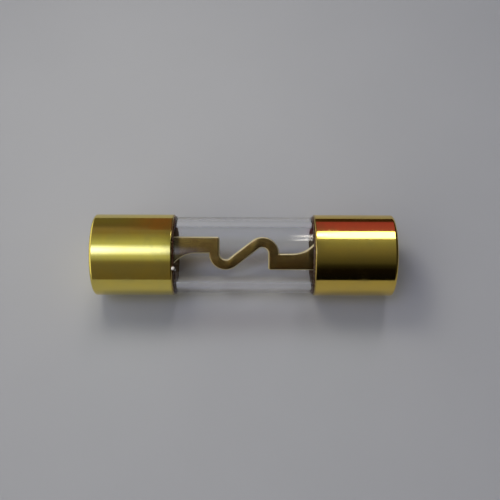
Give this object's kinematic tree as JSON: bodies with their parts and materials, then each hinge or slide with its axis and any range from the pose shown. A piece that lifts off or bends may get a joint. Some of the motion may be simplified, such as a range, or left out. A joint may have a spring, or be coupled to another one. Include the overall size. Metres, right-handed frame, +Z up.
{
  "type": "cartridge fuse",
  "caption": "Glass-bodied cartridge fuse with a flat S-shaped fusible strip soldered between two plated end caps.",
  "frame": {"origin": "middle of the fuse, on the axis of its tube", "axes": "+X along the tube towards the right cap; +Z up with the fuse lying on its side, where the face of the strip leans 32 degrees from +Z towards -Y; +Y across, towards the side the left blade of the strip lies on"},
  "size_m": [0.038, 0.0104, 0.0104],
  "materials": {
    "glass": "clear, fire-polished rims",
    "gold": "bright gold plating over brass",
    "strip": "rolled and stamped, dull",
    "solder": "tin solder, frosty",
    "cement": "dark brown resin"
  },
  "bodies": {
    "root": {"glass_tube": "glass", "left_end_cap": "gold", "right_end_cap": "gold", "fuse_element": "strip", "left_solder_pad": "solder", "right_solder_pad": "solder", "left_cement_ring": "cement", "right_cement_ring": "cement"}
  },
  "joints": []
}
